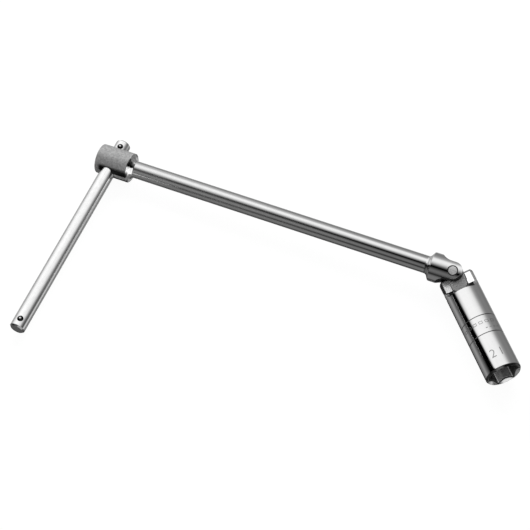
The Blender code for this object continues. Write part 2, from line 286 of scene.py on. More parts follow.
def lathe(name, profile, facets=round_facets):
    """A closed body turned about X: the profile lists (along, radius), closed on the axis
    at both ends or back on its own start."""
    shape = bmesh.new()
    rings = []
    for along, radius in profile:
        if radius == 0:
            rings.append([shape.verts.new((along, 0, 0))])
            continue
        ring = []
        for n in range(facets):
            angle = math.tau * n / facets
            spot = (along, radius * math.cos(angle), radius * math.sin(angle))
            ring.append(shape.verts.new(spot))
        rings.append(ring)
    for one, two in zip(rings, rings[1:]):
        for n in range(facets):
            after = (n + 1) % facets
            corners = []
            for ring, place in ((one, n), (one, after), (two, after), (two, n)):
                corner = ring[place] if len(ring) > 1 else ring[0]
                if corner not in corners:
                    corners.append(corner)
            if len(corners) > 2:
                shape.faces.new(corners)
    return mesh_from(name, shape)


def slab(name, outline, thickness):
    """A flat outline in XY, given a thickness along Z about its middle."""
    shape = bmesh.new()
    half = thickness / 2
    lower = [shape.verts.new((x, y, -half)) for x, y in outline]
    upper = [shape.verts.new((x, y, half)) for x, y in outline]
    for n in range(len(outline)):
        after = (n + 1) % len(outline)
        shape.faces.new((lower[n], lower[after], upper[after], upper[n]))
    shape.faces.new(list(reversed(lower)))
    shape.faces.new(upper)
    return mesh_from(name, shape)


def turned_mesh(mesh, matrix):
    mesh.transform(matrix)
    return mesh


def added(name, data):
    """A new object in the scene."""
    item = bpy.data.objects.new(name, data)
    bpy.context.scene.collection.objects.link(item)
    return item


def final_mesh(item):
    """The mesh of an object after its modifiers."""
    bpy.context.view_layer.update()
    graph = bpy.context.evaluated_depsgraph_get()
    return bpy.data.meshes.new_from_object(item.evaluated_get(graph))


def carved(mesh, tools):
    """The mesh after its tools, each a pair of operation and mesh, in the same frame."""
    body = added("blank", mesh)
    helpers = []
    for operation, tool_mesh in tools:
        helper = added("tool", tool_mesh)
        helpers.append(helper)
        modifier = body.modifiers.new("carve", "BOOLEAN")
        modifier.operation = operation
        modifier.solver = "EXACT"
        modifier.object = helper
    result = final_mesh(body)
    for item in (body, *helpers):
        bpy.data.objects.remove(item, do_unlink=True)
    return result


def piece(name, mesh, place, material, body, node=None, crease=crease_deg):
    """Puts a mesh in its frame, with its material, body and the node it stands for.

    The places of its points in that frame stay on the mesh, for its material."""
    mesh.name = name
    spots = mesh.attributes.new("spot", "FLOAT_VECTOR", "POINT")
    for vertex, spot in zip(mesh.vertices, spots.data):
        spot.vector = vertex.co
    mesh.transform(place)
    mesh.shade_smooth()
    mesh.set_sharp_from_angle(angle=math.radians(crease))
    mesh.materials.clear()
    mesh.materials.append(material)
    item = added(name, mesh)
    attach(item, body)
    if node:
        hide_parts(node)
    return item


# Materials
chrome_colour = (0.78, 0.78, 0.78)
# Painted light: the handle's chrome is a lighter copy of the same chrome, so its lit band shows
# brighter
handle_colour = (0.86, 0.86, 0.86)
satin_colour = (0.52, 0.52, 0.52)
bare_colour = (0.66, 0.66, 0.66)
mark_colour = (0.32, 0.32, 0.32)
rubber_colour = (0.025, 0.025, 0.027)
rubber_specular = 0.35
rubber_cloud_scale = 900.0
rubber_bump_depth = 0.00003
bump_depth = 0.00002
smudge_size = 6
noise_low = 0.3
noise_high = 0.7

# Directions in a part's own frame, and the axes across X, Y and Z
onward, left, right, up = (1, 0, 0), (0, -1, 0), (0, 1, 0), (0, 0, 1)
origin = (0, 0, 0)
about_x, about_y, about_z = (0, 1, 1), (1, 0, 1), (1, 1, 0)

Zone = namedtuple("Zone", "mask share roughness metallic")


class Nodes:
    """Short calls for building a node tree."""

    def __init__(self, tree):
        self.tree = tree

    def new(self, kind, **inputs):
        node = self.tree.nodes.new(kind)
        for name, value in inputs.items():
            self.put(node.inputs[name.replace("_", " ")], value)
        return node

    def put(self, socket, value):
        if isinstance(value, bpy.types.NodeSocket):
            self.tree.links.new(value, socket)
        else:
            socket.default_value = value

    def math(self, operation, first, second=0.0):
        node = self.tree.nodes.new("ShaderNodeMath")
        node.operation = operation
        self.put(node.inputs[0], first)
        self.put(node.inputs[1], second)
        return node.outputs[0]

    def spot(self):
        node = self.tree.nodes.new("ShaderNodeAttribute")
        node.attribute_name = "spot"
        return node.outputs["Vector"]

    def dot(self, vector, axis):
        node = self.tree.nodes.new("ShaderNodeVectorMath")
        node.operation = "DOT_PRODUCT"
        self.put(node.inputs[0], vector)
        node.inputs[1].default_value = axis
        return node.outputs["Value"]

    def spread(self, value, low, high, to_low=0.0, to_high=1.0, kind="SMOOTHSTEP"):
        node = self.tree.nodes.new("ShaderNodeMapRange")
        node.interpolation_type = kind
        self.put(node.inputs["Value"], value)
        node.inputs["From Min"].default_value = low
        node.inputs["From Max"].default_value = high
        node.inputs["To Min"].default_value = to_low
        node.inputs["To Max"].default_value = to_high
        return node.outputs["Result"]

    def mix(self, factor, first, second):
        node = self.tree.nodes.new("ShaderNodeMix")
        node.data_type = "FLOAT"
        self.put(node.inputs["Factor"], factor)
        self.put(node.inputs["A"], first)
        self.put(node.inputs["B"], second)
        return node.outputs["Result"]

    def varied(self, noise, middle, spread):
        """A value that follows a noise, about a middle."""
        low, high = middle - spread, middle + spread
        return self.spread(noise, noise_low, noise_high, low, high, "LINEAR")

    def noise(self, vector, scale, detail=3.0, roughness=0.55):
        node = self.tree.nodes.new("ShaderNodeTexNoise")
        self.put(node.inputs["Vector"], vector)
        node.inputs["Scale"].default_value = scale
        node.inputs["Detail"].default_value = detail
        node.inputs["Roughness"].default_value = roughness
        return node.outputs["Fac"]

    def distance(self, vector, point, kept):
        """How far the vector is from the point, in the axes that are kept."""
        away = self.tree.nodes.new("ShaderNodeVectorMath")
        away.operation = "SUBTRACT"
        self.put(away.inputs[0], vector)
        away.inputs[1].default_value = point
        flat = self.tree.nodes.new("ShaderNodeVectorMath")
        flat.operation = "MULTIPLY"
        self.put(flat.inputs[0], away.outputs["Vector"])
        flat.inputs[1].default_value = kept
        length = self.tree.nodes.new("ShaderNodeVectorMath")
        length.operation = "LENGTH"
        self.put(length.inputs[0], flat.outputs["Vector"])
        return length.outputs["Value"]

    def stretched(self, vector, along, across):
        node = self.tree.nodes.new("ShaderNodeMapping")
        self.put(node.inputs["Vector"], vector)
        node.inputs["Scale"].default_value = (along, across, across)
        return node.outputs["Vector"]

    def scaled(self, colour, value):
        node = self.tree.nodes.new("ShaderNodeVectorMath")
        node.operation = "SCALE"
        self.put(node.inputs[0], colour)
        self.put(node.inputs["Scale"], value)
        return node.outputs["Vector"]


def new_material(name):
    material = bpy.data.materials.new(name)
    material.use_nodes = True
    nodes = Nodes(material.node_tree)
    return material, nodes, material.node_tree.nodes["Principled BSDF"]


def empty_tree(owner):
    """The cleared node tree of a material or a world."""
    owner.use_nodes = True
    owner.node_tree.nodes.clear()
    return Nodes(owner.node_tree)


def metal(
    name, colour, roughness, rough_spread, mottle, mottle_scale, lines, bump, metallic=1.0, zones=()
):
    """A worn metal: clouded in colour and gloss, with fine lines round or along its X.

    lines is (across-X scale, along-X scale, strength) and bump is (scale, strength). Within
    a zone, where its mask is 1, the surface has a share of the colour, and its own roughness
    and metallic value. Some zones are changes of finish; others are painted shade or painted
    highlights."""
    material, nodes, surface = new_material(name)
    place = nodes.spot()
    clouds = nodes.noise(place, mottle_scale, detail=4.0, roughness=0.6)
    across_scale, along_scale, line_strength = lines
    streaks = nodes.noise(nodes.stretched(place, along_scale, across_scale), 1.0, detail=2.0)
    smudges = nodes.noise(place, mottle_scale / smudge_size, detail=2.0)
    tint = nodes.varied(clouds, 1, mottle)
    streak_tint = nodes.varied(streaks, 1, line_strength)
    base = nodes.scaled(colour, nodes.math("MULTIPLY", tint, streak_tint))
    half_streaks = nodes.math("MULTIPLY", streaks, 0.5)
    gloss = nodes.math("ADD", smudges, half_streaks)
    low, high = roughness - rough_spread, roughness + rough_spread
    dull = nodes.spread(gloss, 0.5, 1.0, low, high, "LINEAR")
    bump_scale, bump_strength = bump
    for zone in zones:
        inside = zone.mask(nodes, place)
        base = nodes.scaled(base, nodes.mix(inside, 1.0, zone.share))
        dull = nodes.mix(inside, dull, zone.roughness)
        bump_strength = nodes.mix(inside, bump_strength, 0.0)
        metallic = nodes.mix(inside, metallic, zone.metallic)
    nodes.put(surface.inputs["Base Color"], base)
    nodes.put(surface.inputs["Roughness"], dull)
    nodes.put(surface.inputs["Metallic"], metallic)
    grains = nodes.noise(place, bump_scale, detail=2.0)
    height = nodes.math("ADD", grains, half_streaks)
    node = nodes.new("ShaderNodeBump", Height=height)
    nodes.put(node.inputs["Strength"], bump_strength)
    node.inputs["Distance"].default_value = bump_depth
    nodes.put(surface.inputs["Normal"], node.outputs["Normal"])
    return material


def beyond(radius, point, kept, edge=zone_edge):
    """A mask for a zone: 1 farther than radius from a point, in the axes that are kept."""

    def mask(nodes, place):
        reach = nodes.distance(place, point, kept)
        return nodes.spread(reach, radius, radius + edge)

    return mask


def outside(mask):
    """A mask: 1 where another one is 0."""
    return lambda nodes, place: nodes.math("SUBTRACT", 1.0, mask(nodes, place))


def within(radius, point, kept, edge=zone_edge):
    """A mask: 1 nearer than radius to a point, in the axes that are kept."""
    return outside(beyond(radius, point, kept, edge))


def past(axis, start, edge=zone_edge):
    """A mask: 1 farther along an axis than start."""
    return lambda nodes, place: nodes.spread(nodes.dot(place, axis), start, start + edge)


def turned_past(turn_deg, edge):
    """A mask: 1 in the half turn about X after this angle, from up towards the left."""
    turn = math.radians(turn_deg)
    return past((0, -math.cos(turn), -math.sin(turn)), 0, edge)


def along_between(low, high):
    """A mask: 1 between two places along X."""

    def mask(nodes, place):
        along = nodes.dot(place, onward)
        past_low = nodes.spread(along, low - zone_edge, low + zone_edge)
        past_high = nodes.spread(along, high - zone_edge, high + zone_edge)
        return nodes.math("SUBTRACT", past_low, past_high)

    return mask


def all_of(*masks):
    """A mask: 1 where every one of some masks is."""

    def mask(nodes, place):
        result = masks[0](nodes, place)
        for other in masks[1:]:
            result = nodes.math("MULTIPLY", result, other(nodes, place))
        return result

    return mask


def head_strips(nodes, place):
    """Two strips of painted shade along the head, above and below the handle's holes, on either
    side.
    """
    side = nodes.math("ABSOLUTE", nodes.dot(place, (0, 1 / head_radius, 0)))
    level = nodes.math("ABSOLUTE", nodes.dot(place, (0, 0, 1 / head_radius)))
    strip = nodes.spread(side, head_strip_start, head_strip_end)
    return nodes.math("MULTIPLY", strip, nodes.spread(level, head_strip_inner, head_strip_outer))


def hexagon_reach(nodes, place):
    """How far out a place is, measured square to the nearest of the hexagon's flats."""
    reach = 0.0
    for turn_deg in (30, 90, 150):
        turn = math.radians(turn_deg)
        side = nodes.math("ABSOLUTE", nodes.dot(place, (0, math.cos(turn), math.sin(turn))))
        reach = nodes.math("MAXIMUM", reach, side)
    return reach


def past_flats(growth, edge):
    """A mask: 1 farther out than the hexagon's flats by more than a growth."""
    start = hex_across_flats / 2 + growth
    return lambda nodes, place: nodes.spread(hexagon_reach(nodes, place), start, start + edge)


def hexagon_wall(turn_deg):
    """A mask: 1 beside the hexagon's wall that lies at this turn about X, from the right."""
    turn = math.radians(turn_deg)
    return past((0, math.cos(turn), math.sin(turn)), hex_across_flats / 2 - wall_mask_depth)


def rubber_material():
    material, nodes, surface = new_material("black_rubber")
    surface.inputs["Specular IOR Level"].default_value = rubber_specular
    clouds = nodes.noise(nodes.spot(), rubber_cloud_scale)
    base = nodes.scaled(rubber_colour, nodes.varied(clouds, 1.1, 0.4))
    nodes.put(surface.inputs["Base Color"], base)
    nodes.put(surface.inputs["Roughness"], nodes.varied(clouds, 0.7, 0.1))
    node = nodes.new("ShaderNodeBump", Height=clouds)
    node.inputs["Distance"].default_value = rubber_bump_depth
    nodes.put(surface.inputs["Normal"], node.outputs["Normal"])
    return material


# Painted shade: a dark ring in the shaded gap round each rivet and round each ball's pocket
gap_shade = {"share": 0.12, "roughness": 0.5, "metallic": 1.0}
# Painted shade: near black, for slots, shaded rims and edges, and dark lines at the shoulders and
# round the hexagon
black_shade = {"share": 0.03, "roughness": 0.9, "metallic": 0.0}
shade = {"share": 0.15, "roughness": 0.2, "metallic": 1.0}
chrome_finish = {
    "colour": chrome_colour,
    "roughness": 0.04,
    "rough_spread": 0.012,
    "mottle": 0.015,
    "mottle_scale": 260.0,
    "lines": (90.0, 2500.0, 0.01),
    "bump": (4000.0, 0.02),
}


def fork_material():
    # Painted shade: the slot's inside, the rim of the tips on the left side and a strip behind them
    # are painted near black
    slot = all_of(
        along_between(-collar_end, far), within(collar_radius - zone_edge, origin, about_x)
    )
    tip = all_of(
        along_between(0, far),
        past(left, fork_rim_low, soft_edge),
        beyond(fork_rim_inner, origin, about_z, soft_edge / 2),
    )
    side = all_of(along_between(-fork_rim_back, 0), past(left, fork_rim_inner, soft_edge / 2))
    neck = along_between(-far, collar_edge - collar_start)
    # Painted shade: the lower half of the collar's neck is darker, with a darker strip along it
    neck_half = all_of(neck, past(left, collar_shade_start, soft_edge))
    neck_band = all_of(neck_half, past(right, -collar_shade_end, soft_edge))
    return metal(
        "fork_chrome",
        **chrome_finish,
        zones=[
            Zone(slot, **black_shade),
            Zone(tip, **black_shade),
            Zone(side, **black_shade),
            Zone(neck_half, share=0.5, roughness=0.2, metallic=1.0),
            Zone(neck_band, **shade),
            # Painted shade: a dark ring in the gap round the rivet
            Zone(within(ring_radius, origin, about_z), **gap_shade),
        ],
    )


def socket_ear_zones():
    inside = within(socket_radius - 2 * zone_edge, origin, about_x)
    right_tip = all_of(along_between(-far, ear_tip_edge - socket_ear_reach), past(right, 0))
    left_tip = all_of(along_between(-far, left_tip_edge - socket_ear_reach), past(left, 0))
    ears = along_between(-far, ear_step_start)
    flats = all_of(ears, inside)
    rims = all_of(ears, beyond(ear_rim_radius, origin, about_x, soft_edge))
    right_rim = all_of(rims, past(right, 0), inside)
    left_rim = all_of(rims, past(left, 0), past(up, ear_rim_low, soft_edge))
    step = all_of(along_between(ear_step_start, ear_step_end), inside)
    step_corner = all_of(step, within(ear_corner, origin, right, soft_edge))
    step_line = all_of(along_between(ear_step_start, ear_step_line), inside, past(left, 0))
    return [
        # Painted highlights: the flats beside the ears are lighter than the chrome, the right one
        # glossy, the left one rough and half diffuse
        Zone(all_of(flats, past(right, 0)), share=1.28, roughness=0.12, metallic=1.0),
        Zone(all_of(flats, past(left, 0)), share=1.28, roughness=0.4, metallic=0.5),
        # Painted shade: the ears' tips and rims and the shoulder below the flats are darker, and
        # the left tip, the left rim and lines at the shoulder are near black
        Zone(right_tip, share=0.25, roughness=0.3, metallic=1.0),
        Zone(left_tip, **black_shade),
        Zone(right_rim, share=0.2, roughness=0.3, metallic=1.0),
        Zone(left_rim, **black_shade),
        Zone(step, share=0.35, roughness=0.4, metallic=1.0),
        Zone(step_corner, **black_shade),
        Zone(step_line, **black_shade),
        # Painted shade: a dark ring in the gap round the rivet
        Zone(within(ring_radius, origin, about_y), **gap_shade),
    ]


def socket_mouth_zones():
    outside_hexagon = past_flats(zone_edge, zone_edge)
    past_edge = past_flats(zone_edge + hexagon_edge_width, hexagon_edge_width)
    walls = all_of(along_between(ear_step_end, far), outside(outside_hexagon))
    middle_half = all_of(hexagon_wall(middle_wall_deg), past(left, 0, hexagon_shade_edge))
    corner_lines = beyond(corner_line_radius, origin, about_x, soft_edge / 4)
    cone = all_of(
        along_between(socket_mouth - 2 * (mouth_radius - bore_radius), far),
        within(mouth_radius, origin, about_x),
        outside_hexagon,
    )
    rim = all_of(
        along_between(socket_mouth - rim_depth, far), beyond(mouth_radius, origin, about_x)
    )
    return [
        # The hexagon's walls are rough, half diffuse and darker than the chrome: the finish of an
        # unplated bore, with painted shade in the recess
        Zone(walls, share=0.65, roughness=0.4, metallic=0.5),
        # Painted shade: the two walls at the sides are near black
        *[
            Zone(all_of(walls, hexagon_wall(turn_deg)), share=0.15, roughness=0.5, metallic=0.5)
            for turn_deg in dark_walls_deg
        ],
        # Painted highlights: the left half of the middle wall and lines along the hexagon's corners
        # are lighter
        Zone(all_of(walls, middle_half), share=1.8, roughness=0.4, metallic=0.5),
        Zone(all_of(walls, corner_lines), share=2.3, roughness=0.4, metallic=0.3),
        # Painted highlight: the taper below the hexagon is lighter, with a line of painted shade,
        # near black, round the hexagon's edge
        Zone(cone, share=1.28, roughness=0.18, metallic=0.6),
        Zone(all_of(cone, outside(past_edge)), **black_shade),
        # Painted shade: a darker band on the rim
        Zone(rim, **shade),
    ]


def socket_material():
    grooves = []
    for middle in groove_places:
        groove = along_between(middle - groove_width / 2, middle + groove_width / 2)
        # Painted shade: the grooves are darker, and rougher
        grooves.append(Zone(groove, share=0.3, roughness=0.3, metallic=1.0))
    zones = [*socket_ear_zones(), *grooves, *socket_mouth_zones()]
    return metal("socket_chrome", **chrome_finish, zones=zones)


def shaft_material():
    gloss = past(onward, shaft_gloss_start, shaft_gloss_fade)
    return metal(
        "drawn_chrome",
        chrome_colour,
        roughness=0.18,
        rough_spread=0.05,
        mottle=0.04,
        mottle_scale=220.0,
        lines=(1500.0, 25.0, 0.05),
        bump=(3500.0, 0.2),
        zones=[Zone(gloss, share=1.0, roughness=0.06, metallic=1.0)],
    )


def handle_material():
    zones = []
    for along in ball_places.values():
        # Painted shade: a dark ring in the gap round each ball
        zones.append(Zone(within(ball_radius + clearance, (along, 0, 0), about_z), **gap_shade))
    # Painted shade: the chamfers at the ends are darker; the end faces inside them get back about
    # their full colour, rougher, as ground faces
    for chamfer, end in (
        (along_between(-far, handle_foot + handle_edge), along_between(-far, handle_foot)),
        (along_between(handle_top - handle_edge, far), along_between(handle_top, far)),
    ):
        zones.append(Zone(chamfer, share=0.42, roughness=0.25, metallic=1.0))
        zones.append(Zone(end, share=2.3, roughness=0.45, metallic=1.0))
    return metal(
        "rolled_chrome",
        handle_colour,
        roughness=0.16,
        rough_spread=0.05,
        mottle=0.05,
        mottle_scale=300.0,
        lines=(1500.0, 30.0, 0.05),
        bump=(3500.0, 0.25),
        zones=zones,
    )


def head_material():
    neck = along_between(head_front - head_edge / 2, far)
    after_start = turned_past(neck_shade_from_deg, neck_shade_edge)
    before_end = turned_past(neck_shade_to_deg - 180, neck_shade_edge)
    strips = all_of(head_strips, past(onward, head_strip_from, head_strip_fade))
    return metal(
        "satin_steel",
        satin_colour,
        roughness=0.5,
        rough_spread=0.06,
        mottle=0.3,
        mottle_scale=650.0,
        lines=(400.0, 400.0, 0.05),
        bump=(1500.0, 0.9),
        metallic=0.3,
        zones=[
            Zone(neck, share=1.65, roughness=0.06, metallic=1.0),
            # Painted shade on a sector of the polished neck
            Zone(all_of(neck, after_start, before_end), share=0.15, roughness=0.06, metallic=1.0),
            # Painted shade: dark strips beside the handle's holes
            Zone(strips, share=0.02, roughness=0.3, metallic=1.0),
        ],
    )


fork_chrome = fork_material()
socket_chrome = socket_material()
drawn = shaft_material()
rolled = handle_material()
satin = head_material()
bare = metal(
    "bare_steel",
    bare_colour,
    roughness=0.4,
    rough_spread=0.06,
    mottle=0.08,
    mottle_scale=700.0,
    lines=(1200.0, 300.0, 0.05),
    bump=(2500.0, 0.4),
    metallic=0.6,
)
rivet_steel = metal(
    "rivet_steel",
    chrome_colour,
    roughness=0.5,
    rough_spread=0.06,
    mottle=0.12,
    mottle_scale=1100.0,
    lines=(900.0, 900.0, 0.05),
    bump=(2500.0, 0.6),
    metallic=0.4,
)
# Painted shade: each ball is near black below a small cap round its top, which keeps the steel's
# colour
ball_unshaded = ball_radius * math.cos(math.radians(ball_unshaded_deg))
bearing = metal(
    "bearing_steel",
    bare_colour,
    roughness=0.08,
    rough_spread=0.03,
    mottle=0.04,
    mottle_scale=700.0,
    lines=(900.0, 900.0, 0.02),
    bump=(4000.0, 0.05),
    zones=[Zone(along_between(-far, ball_unshaded), share=0.03, roughness=0.3, metallic=1.0)],
)
stamped = metal(
    "stamped_mark",
    mark_colour,
    roughness=0.4,
    rough_spread=0.08,
    mottle=0.25,
    mottle_scale=1500.0,
    lines=(900.0, 900.0, 0.1),
    bump=(3000.0, 0.5),
)
rubber = rubber_material()


# Cross head and shaft
def make_cross_head():
    neck_start_deg = 62
    fillet_centre = (head_neck, shaft_radius + head_neck_fillet)
    neck = arc(fillet_centre, head_neck_fillet, -90, -90 - neck_start_deg)
    front = arc((head_front, head_radius - head_edge), head_edge, 0, 90, edge_steps)
    back_centre = (head_edge - head_back, head_radius - head_edge)
    back = arc(back_centre, head_edge, 90, 180, edge_steps)
    profile = finer([(head_neck, 0), *neck, *front, *back, (-head_back, 0)])
    bore_length = head_radius + overrun
    bore = lathe("bore", [
        (-bore_length, 0),
        (-bore_length, handle_bore_radius),
        (bore_length, handle_bore_radius),
        (bore_length, 0),
    ], small_facets)
    mesh = carved(lathe("head", profile), [("DIFFERENCE", turned_mesh(bore, along_y))])
    piece("cross_head_turned", mesh, shaft_frame, satin, "shaft", "cross_head")


def make_shaft():
    start = head_neck + clearance
    end = pin_distance - fork_neck - clearance
    profile = finer([(start, 0), (start, shaft_radius), (end, shaft_radius), (end, 0)])
    mesh = lathe("shaft", profile)
    piece("shaft_drawn", mesh, shaft_frame, drawn, "shaft", "shaft")


def make_weld(name, middle):
    """A low bead that closes the butt joint between two turned pieces."""
    bead_half = 0.0007
    bead_height = 0.00001
    crown = []
    for step in range(arc_steps + 1):
        share = 2 * step / arc_steps - 1
        height = bead_height * (1 - share * share)
        crown.append((middle + bead_half * share, shaft_radius + height))
    inner = shaft_radius - clearance
    profile = [*crown, (middle + bead_half, inner), (middle - bead_half, inner), crown[0]]
    mesh = lathe(name, profile)
    piece(name, mesh, shaft_frame, drawn, "shaft")


# Handle
def make_handle():
    chamfer = [(handle_top, handle_radius - handle_edge), (handle_top - handle_edge, handle_radius)]
    foot = [(handle_foot + handle_edge, handle_radius), (handle_foot, handle_radius - handle_edge)]
    profile = finer([(handle_top, 0), *chamfer, *foot, (handle_foot, 0)])
    mesh = turned_mesh(lathe("handle", profile), along_y)
    floor = handle_radius - pocket_depth
    wall = ball_radius + clearance
    top = handle_radius + overrun
    outline = [(floor, 0), (floor, wall), (top, wall), (top, 0)]
    pockets = []
    for along in ball_places.values():
        pocket = lathe("pocket", outline, ball_facets)
        place = Matrix.Translation((0, along, 0)) @ along_z
        pockets.append(("DIFFERENCE", turned_mesh(pocket, place)))
    mesh = turned_mesh(carved(mesh, pockets), along_y.inverted())
    place = handle_frame @ along_y
    piece("handle_bar", mesh, place, rolled, "handle", "sliding_handle")


def make_balls():
    centre = handle_radius + ball_proud - ball_radius
    for side, along in ball_places.items():
        mesh = lathe("ball", ball_outline(), ball_facets)
        place = handle_frame @ Matrix.Translation((0, along, centre)) @ along_z
        node = "detent_ball_" + side
        piece("ball_" + side, mesh, place, bearing, "ball_" + side, node)


def ball_outline():
    """Half a circle, with both of its ends exactly on the axis."""
    outline = arc((0, 0), ball_radius, 0, 180, 2 * arc_steps)
    outline[0] = (ball_radius, 0)
    outline[-1] = (-ball_radius, 0)
    return outline


# Fork, link and rivets
def fork_outline():
    wide = collar_radius + overrun
    rise = collar_radius - ear_half
    run = math.sqrt(ear_relief_radius**2 - (ear_relief_radius - rise) ** 2)
    relief_centre = (run - collar_end, ear_half + ear_relief_radius)
    relief_deg = math.degrees(math.asin(run / ear_relief_radius))
    tip = arc((0, 0), ear_half, 90, 0, 2 * arc_steps)
    relief = arc(relief_centre, ear_relief_radius, -90 - relief_deg, -90)
    upper = [(-fork_neck - overrun, wide), (-collar_end, wide), *relief, *tip]
    lower = [(along, -out) for along, out in reversed(upper[:-1])]
    return upper + lower


def hole_tool(reach, place, outer_radius=None):
    """A rivet's hole; where it opens in a round body of outer_radius, its rims are flared."""
    profile = [(reach, hole_radius), (reach, 0)]
    if outer_radius:
        start = outer_radius - flare_depth
        flared = hole_radius + flare_width * (reach - start) / flare_depth
        profile = [(start, hole_radius), (reach, flared), (reach, 0)]
    foot = [(-along, radius) for along, radius in reversed(profile)]
    return ("DIFFERENCE", turned_mesh(lathe("hole", foot + profile, small_facets), place))


def slot_mesh(start, end, half, wide):
    """A slot along X, as wide as twice half in Y and twice wide in Z."""
    outline = [(start, -half), (end, -half), (end, half), (start, half)]
    return slab("slot", outline, 2 * wide)


def make_fork():
    neck_end_deg = 55
    fillet_centre = (-fork_neck, shaft_radius + fork_neck_fillet)
    neck = arc(fillet_centre, fork_neck_fillet, -90 + neck_end_deg, -90)
    profile = finer([
        (ear_half + overrun, 0),
        (ear_half + overrun, collar_radius),
        (collar_edge - collar_start, collar_radius),
        (-collar_start - collar_edge / 2, collar_radius - collar_edge),
        *neck,
        (-fork_neck, 0),
    ], fork_ring_step)
    wide = collar_radius + overrun
    blank = slab("outline", fork_outline(), 2 * wide)
    slot_half = link_thickness / 2 + clearance
    slot_end = link_width / 2 + 2 * clearance
    slot = slot_mesh(-slot_end, ear_half + 2 * overrun, slot_half, wide)
    slot = turned_mesh(slot, upright)
    hole = hole_tool(wide, along_z, collar_radius)
    tools = [("INTERSECT", blank), ("DIFFERENCE", slot), hole]
    mesh = carved(lathe("fork", profile), tools)
    piece("fork_milled", mesh, fork_frame, fork_chrome, "shaft", "fork")


def make_link():
    half_width = link_width / 2
    half_thickness = link_thickness / 2
    reach = pin_spacing + half_thickness + overrun
    end_half = link_end_width / 2
    corner = pin_spacing - link_end_corner
    upper = [(reach, end_half), (pin_spacing, end_half), (corner, half_width)]
    outline = upper + arc((0, 0), half_width, 90, 270, 2 * arc_steps)
    outline += [(along, -out) for along, out in reversed(upper)]
    back = half_width + overrun
    side = arc((pin_spacing, 0), half_thickness, -90, 90, 2 * arc_steps)
    side += [(-back, half_thickness + overrun), (-back, -half_thickness - overrun)]
    rounding = turned_mesh(slab("rounding", side, link_width + 2 * overrun), upright)
    section = [(half_thickness, half_width - link_edge), (half_thickness - link_edge, half_width)]
    section += [(-high, wide) for high, wide in reversed(section)]
    section += [(-high, -wide) for high, wide in section]
    edging = turned_mesh(slab("edging", section, 2 * (reach + back)), rotation(90, "Y"))
    second_place = Matrix.Translation((pin_spacing, 0, 0)) @ along_y
    tools = [
        ("INTERSECT", rounding),
        ("INTERSECT", edging),
        hole_tool(link_thickness, along_z),
        hole_tool(link_width, second_place),
    ]
    mesh = carved(slab("link", outline, link_thickness), tools)
    piece("link_block", mesh, link_frame, bare, "link", "link")


def make_rivet(name, node, outer_radius, place, body):
    rim = math.sqrt(outer_radius**2 - rivet_radius**2)
    top = rim + rivet_dome
    bend = (rivet_radius**2 + rivet_dome**2) / (2 * rivet_dome)
    half_deg = math.degrees(math.asin(rivet_radius / bend))
    dome = arc((top - bend, 0), bend, 0, half_deg)
    dome[0] = (top, 0)
    foot = [(-height, radius) for height, radius in reversed(dome)]
    mesh = lathe(name, finer(dome + foot), small_facets)
    piece(name, mesh, place, rivet_steel, body, node)


# Socket
def socket_profile():
    ears = -socket_ear_reach
    outer = [
        (ears, 0),
        (ears, socket_radius - socket_ear_edge),
        (ears + socket_ear_edge, socket_radius),
    ]
    for middle in groove_places:
        outer += [
            (middle - groove_width / 2, socket_radius),
            (middle, socket_radius - groove_depth),
            (middle + groove_width / 2, socket_radius),
        ]
    bend_centre = (socket_mouth - rim_depth, socket_radius - rim_bend_radius)
    outer += arc(bend_centre, rim_bend_radius, 90, 90 - rim_bend_deg, rim_steps)
    outer.append((socket_mouth, socket_radius - rim_width))
    taper = math.tan(math.radians(mouth_taper_deg))
    taper_length = (mouth_radius - bore_radius) / taper
    grip_start = socket_mouth - grip_from_mouth
    grip_end = grip_start - grip_length
    seat_radius = grip_outer_radius + clearance
    floor = socket_mouth - bore_depth
    point_length = bore_radius / math.tan(math.radians(bore_point_deg))
    inner = [
        (socket_mouth, mouth_radius),
        (socket_mouth - taper_length, bore_radius),
        (grip_start + clearance, bore_radius),
        (grip_start + clearance, seat_radius),
        (grip_end - clearance, seat_radius),
        (grip_end - clearance, bore_radius),
        (floor, bore_radius),
        (floor - point_length, 0),
    ]
    return outer + inner


def flat_outline():
    """What is milled off beside the ears: flat, round into the shoulder, tapered at the tip."""
    flat_half = socket_flat_spacing / 2
    wide = socket_radius + overrun
    top = -socket_ear_reach - overrun
    drop = socket_flat_drop * (socket_flat_taper + overrun) / socket_flat_taper
    fillet_centre = (socket_flat_end, flat_half + socket_shoulder_fillet)
    outline = [(top, flat_half - drop), (socket_flat_taper - socket_ear_reach, flat_half)]
    outline += arc(fillet_centre, socket_shoulder_fillet, -90, 0)
    outline += [(socket_flat_end + socket_shoulder_fillet, wide), (top, wide)]
    return outline


def hexagon_outline():
    """The hexagon with its corners cut by narrow facets, its first corner on local Y."""
    corner_reach = hex_across_flats / math.sqrt(3) - hex_corner_cut
    half_facet = hex_corner_cut * math.tan(math.radians(60))
    outline = []
    for n in range(6):
        corner = Matrix.Rotation(math.radians(60 * n), 2)
        for side in (-half_facet, half_facet):
            outline.append(tuple(corner @ Vector((corner_reach, side))))
    return outline


